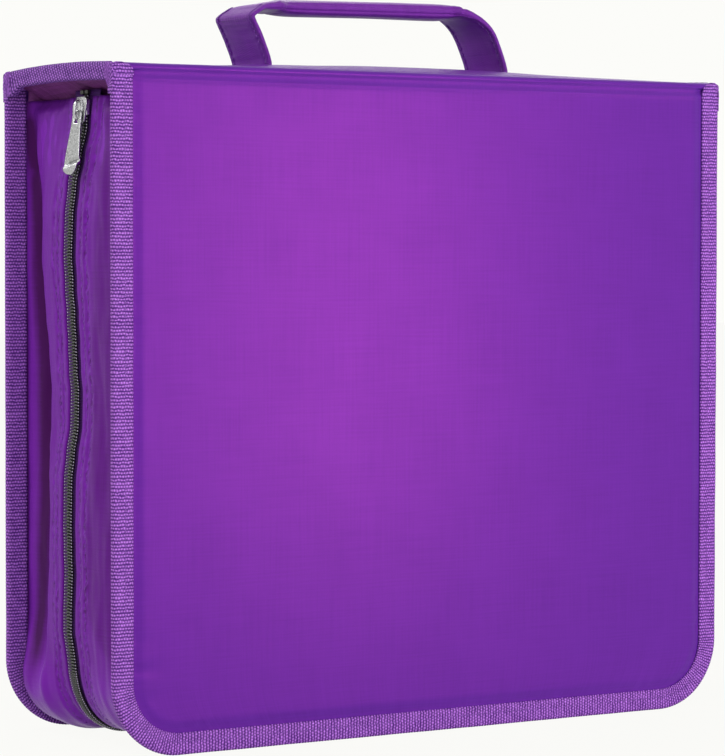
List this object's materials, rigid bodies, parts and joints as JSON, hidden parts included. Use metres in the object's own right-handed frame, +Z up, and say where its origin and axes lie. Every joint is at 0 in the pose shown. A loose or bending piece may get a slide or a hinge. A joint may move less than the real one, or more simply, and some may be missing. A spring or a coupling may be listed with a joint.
{
  "type": "cd storage case",
  "caption": "Zipped purple fabric case for discs: two stiff covers hinged on a padded spine with a strap handle, sleeve booklets inside.",
  "frame": {"origin": "middle of the footprint, at the bottom edges of the covers", "axes": "+X along the spine, away from the zip slider's end; -Y out of the front cover; +Z up, towards the handle"},
  "size_m": [0.33, 0.108, 0.338],
  "materials": {
    "purple_nylon": "satin woven nylon, bright purple",
    "handle_webbing": "stitched purple webbing",
    "binding_tape": "ribbed purple grosgrain tape",
    "gusset_nylon": "soft purple lining nylon",
    "zip_tape": "woven purple zip tape",
    "zip_coil": "dark nylon coil",
    "black_lining": "black nonwoven",
    "stiffener_board": "grey board",
    "foam": "white foam",
    "sleeve_film": "white nonwoven sleeves with clear film",
    "black_plastic": "moulded black plastic",
    "rivet_steel": "plain steel",
    "nickel_plate": "worn nickel plate"
  },
  "bodies": {
    "spine": {"spine_fabric": "purple_nylon", "spine_padding": "foam", "spine_board": "stiffener_board", "spine_lining": "black_lining", "spine_binding_left": "binding_tape", "spine_binding_right": "binding_tape", "spine_pleat_left": "gusset_nylon", "spine_pleat_right": "gusset_nylon", "handle": "handle_webbing", "booklet_1": "sleeve_film", "booklet_2": "sleeve_film", "booklet_3": "sleeve_film", "booklet_4": "sleeve_film", "booklet_rail_1": "black_plastic", "booklet_rail_2": "black_plastic", "booklet_rail_3": "black_plastic", "booklet_rail_4": "black_plastic", "rail_rivet_1_left": "rivet_steel", "rail_rivet_1_right": "rivet_steel", "rail_rivet_2_left": "rivet_steel", "rail_rivet_2_right": "rivet_steel", "rail_rivet_3_left": "rivet_steel", "rail_rivet_3_right": "rivet_steel", "rail_rivet_4_left": "rivet_steel", "rail_rivet_4_right": "rivet_steel"},
    "front_cover": {"front_fabric": "purple_nylon", "front_board": "stiffener_board", "front_lining": "black_lining", "front_binding": "binding_tape", "front_gusset": "gusset_nylon", "front_zip_tape": "zip_tape", "front_zip_coil": "zip_coil", "zip_stop_front_left": "nickel_plate", "zip_stop_front_right": "nickel_plate"},
    "back_cover": {"back_fabric": "purple_nylon", "back_board": "stiffener_board", "back_lining": "black_lining", "back_binding": "binding_tape", "back_gusset": "gusset_nylon", "back_zip_tape": "zip_tape", "back_zip_coil": "zip_coil", "zip_stop_back_left": "nickel_plate", "zip_stop_back_right": "nickel_plate"},
    "zip_slider": {"zip_slider": "nickel_plate"},
    "zip_pull": {"zip_pull": "nickel_plate"}
  },
  "joints": [
    {"name": "front_cover_fold", "type": "hinge", "parent": "spine", "child": "front_cover", "pos_m": [0, -0.0519, 0.2999], "axis": [-1, 0, 0], "range_deg": [0, 90]},
    {"name": "back_cover_fold", "type": "hinge", "parent": "spine", "child": "back_cover", "pos_m": [0, 0.0519, 0.2999], "axis": [1, 0, 0], "range_deg": [0, 90]},
    {"name": "zip_run", "type": "slide", "parent": "back_cover", "child": "zip_slider", "axis": [-0.025, 0.0271, -0.9993], "range_m": [0, 0.21]},
    {"name": "zip_pull_swing", "type": "hinge", "parent": "zip_slider", "child": "zip_pull", "pos_m": [-0.15773, -0.00706, 0.283], "axis": [0, 1, 0], "range_deg": [0, 120]}
  ]
}
